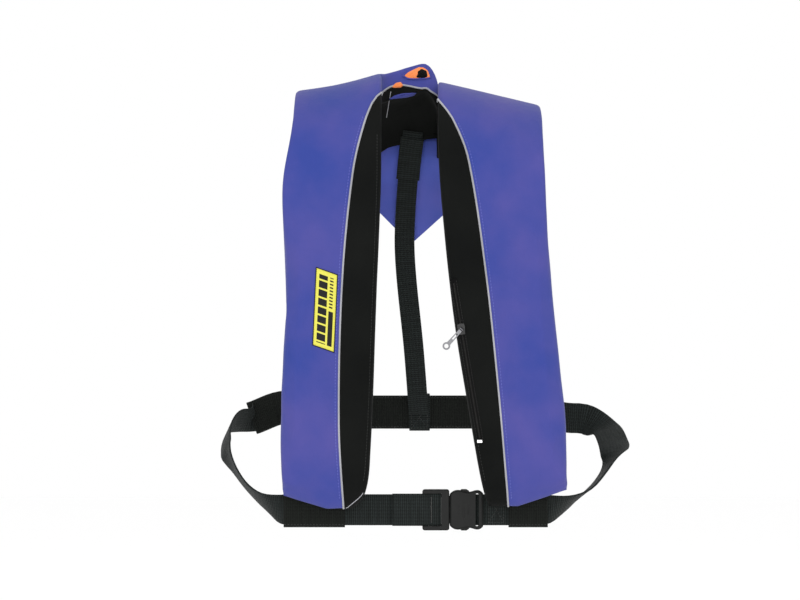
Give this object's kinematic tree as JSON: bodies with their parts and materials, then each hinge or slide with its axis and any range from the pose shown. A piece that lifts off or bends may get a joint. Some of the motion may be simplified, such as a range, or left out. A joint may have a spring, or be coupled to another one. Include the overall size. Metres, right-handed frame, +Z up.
{
  "type": "inflatable life jacket",
  "caption": "Horseshoe-shaped inflatable life jacket in a blue cloth cover with black lining, silver piping, zip, waist belt with side-release buckle, and back strap.",
  "frame": {"origin": "in the neck opening at the back of the neck, where the collar rests on the wearer", "axes": "+Z up, the front of the jacket faces -Y, +X is to the right as seen from the front"},
  "size_m": [0.4945, 0.2223, 0.5729],
  "materials": {
    "blue_cloth": "matt coated nylon, plain weave",
    "black_cloth": "matt coated nylon",
    "black_lining": "matt knitted lining",
    "silver_piping": "satin reflective piping",
    "yellow_label": "woven label with plain black stripes",
    "hook_and_loop": "bristly",
    "orange_bladder": "satin coated fabric",
    "reflective_tape": "reflective",
    "zinc_steel": "zinc plated",
    "black_plastic": "matt moulded",
    "yellow_plastic": "moulded",
    "red_plastic": "moulded",
    "orange_plastic": "moulded",
    "black_webbing": "ribbed polyester webbing",
    "black_acetal": "fine matt moulded",
    "zip_tape": "knitted tape with a nylon coil",
    "nickel": "worn nickel plate",
    "black_metal": "painted"
  },
  "bodies": {
    "jacket": {"cover_front_left": "blue_cloth", "cover_front_right": "blue_cloth", "cover_back_left": "blue_cloth", "cover_back_right": "blue_cloth", "back_flap": "blue_cloth", "gusset_left": "black_cloth", "gusset_right": "black_cloth", "lining_left": "black_lining", "lining_right": "black_lining", "collar_lining": "black_lining", "piping_left": "silver_piping", "piping_right": "silver_piping", "label_patch": "yellow_label", "closure_pad": "hook_and_loop", "bladder": "orange_bladder", "reflective_patches": "reflective_tape", "inflator_body": "black_plastic", "oral_tube": "black_plastic", "whistle": "orange_plastic", "belt_left": "black_webbing", "belt_right": "black_webbing", "belt_back_sleeve": "black_webbing", "belt_sleeve_left": "black_cloth", "belt_sleeve_right": "black_cloth", "back_strap": "black_webbing", "strap_patch": "black_webbing", "back_strap_loop": "black_webbing", "buckle_female": "black_acetal", "zip_tape": "zip_tape", "zip_stop": "nickel"},
    "slider": {"zip_slider": "black_metal"},
    "pull": {"zip_pull": "nickel"},
    "plug": {"buckle_male": "black_acetal", "webbing_loop": "black_webbing"},
    "prong_top": {"buckle_prong_top": "black_acetal"},
    "prong_bottom": {"buckle_prong_bottom": "black_acetal"},
    "lever": {"inflator_lever": "yellow_plastic"},
    "capsule_cap": {"inflator_cap": "yellow_plastic"},
    "cylinder": {"co2_cylinder": "zinc_steel"},
    "valve": {"oral_valve": "red_plastic"},
    "dust_cap": {"oral_cap": "black_plastic"}
  },
  "joints": [
    {"name": "zip_slide", "type": "slide", "parent": "jacket", "child": "slider", "axis": [0.1657, 0, -0.9862], "range_m": [-0.05, 0.122]},
    {"name": "zip_pull_swing", "type": "hinge", "parent": "slider", "child": "pull", "pos_m": [0.0537, -0.12, -0.2574], "axis": [-0.7431, 0, 0.6691], "range_deg": [0, 150]},
    {"name": "buckle_release", "type": "slide", "parent": "jacket", "child": "plug", "axis": [-1, 0, 0], "range_m": [0, 0.032], "deforming": ["buckle_prong_top", "buckle_prong_bottom"]},
    {"name": "prong_top_pinch", "type": "hinge", "parent": "plug", "child": "prong_top", "pos_m": [0.0385, -0.068, -0.4645], "axis": [0, 1, 0], "range_deg": [0, 16], "stiffness_Nm_per_rad": 0.08},
    {"name": "prong_bottom_pinch", "type": "hinge", "parent": "plug", "child": "prong_bottom", "pos_m": [0.0385, -0.068, -0.4925], "axis": [0, -1, 0], "range_deg": [0, 16], "stiffness_Nm_per_rad": 0.08},
    {"name": "inflator_lever_pull", "type": "hinge", "parent": "jacket", "child": "lever", "pos_m": [-0.107, -0.094, -0.408], "axis": [0, -1, 0], "range_deg": [0, 60]},
    {"name": "capsule_cap_turn", "type": "hinge", "parent": "jacket", "child": "capsule_cap", "pos_m": [-0.125, -0.094, -0.446], "axis": [0, 0, 1], "range_deg": [0, 180]},
    {"name": "cylinder_turn", "type": "hinge", "parent": "jacket", "child": "cylinder", "pos_m": [-0.125, -0.094, -0.402], "axis": [0, 0, 1], "range_deg": [0, 180]},
    {"name": "oral_valve_press", "type": "slide", "parent": "jacket", "child": "valve", "axis": [0, 0, -1], "range_m": [0, 0.003], "stiffness_N_per_m": 300},
    {"name": "dust_cap_lift", "type": "slide", "parent": "jacket", "child": "dust_cap", "axis": [0, 0, 1], "range_m": [0, 0.022]}
  ],
  "couplings": [
    {"joint": "prong_bottom_pinch", "follows": "prong_top_pinch", "ratio": 1}
  ]
}
